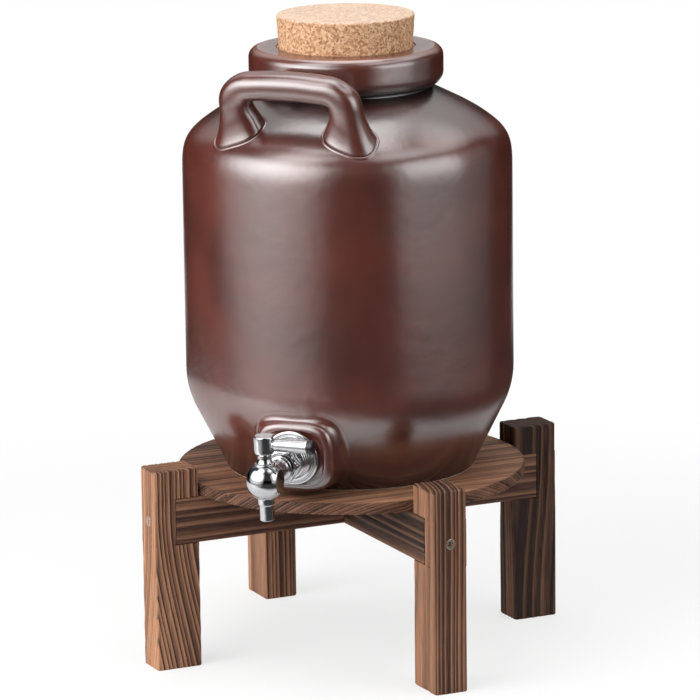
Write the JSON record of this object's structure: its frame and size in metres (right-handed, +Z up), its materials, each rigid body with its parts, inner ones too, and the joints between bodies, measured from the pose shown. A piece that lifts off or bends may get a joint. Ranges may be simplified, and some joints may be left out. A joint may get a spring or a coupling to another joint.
{
  "type": "ceramic drink dispenser",
  "caption": "Glazed ceramic drink jar with a strap handle, cork stopper and chrome ball tap with a side lever, standing on a charred wooden stand with crossed rails.",
  "frame": {"origin": "on the floor under the jar's axis, midway between the four feet", "axes": "+Z up, the tap points to -Y, +X to the right as seen from the tap's side"},
  "size_m": [0.237, 0.2974, 0.4347],
  "materials": {
    "stand_wood": "charred and brushed softwood, oiled, matt",
    "screw_steel": "plain zinc",
    "iron_glaze": "red-brown iron glaze, satin gloss",
    "plated_metal": "polished chrome plate",
    "seal_rubber": "matt",
    "cap_plastic": "gloss",
    "pressed_cork": "pressed cork granules, sanded"
  },
  "bodies": {
    "stand": {"leg_front_left": "stand_wood", "leg_front_right": "stand_wood", "leg_back_right": "stand_wood", "leg_back_left": "stand_wood", "rail_notched_above": "stand_wood", "rail_notched_below": "stand_wood", "plank_front_right": "stand_wood", "plank_middle": "stand_wood", "plank_back_left": "stand_wood", "leg_screws": "screw_steel", "board_screws": "screw_steel"},
    "jar": {"jar_body": "iron_glaze", "jar_handle": "iron_glaze", "flange_gasket": "seal_rubber", "tap_flange": "plated_metal", "ribbed_sleeve": "plated_metal", "coupling_nut": "plated_metal", "tap_body": "plated_metal", "tap_spout": "plated_metal", "gland_nut": "plated_metal", "inner_gasket": "seal_rubber", "inner_washer": "screw_steel", "lock_nut": "screw_steel"},
    "lever": {"valve_plug": "plated_metal", "plug_o_rings": "seal_rubber", "lever_hub": "plated_metal", "lever_bar": "plated_metal", "lever_end_cap": "cap_plastic"},
    "cork": {"cork_stopper": "pressed_cork"}
  },
  "joints": [
    {"name": "jar_lift", "type": "slide", "parent": "stand", "child": "jar", "axis": [0, 0, 1], "range_m": [0, 0.2]},
    {"name": "cork_lift", "type": "slide", "parent": "jar", "child": "cork", "axis": [0, 0, 1], "range_m": [0, 0.12]},
    {"name": "lever_turn", "type": "hinge", "parent": "jar", "child": "lever", "pos_m": [0, -0.16587, 0.15187], "axis": [0, 0.0698, -0.9976], "range_deg": [0, 90]}
  ]
}
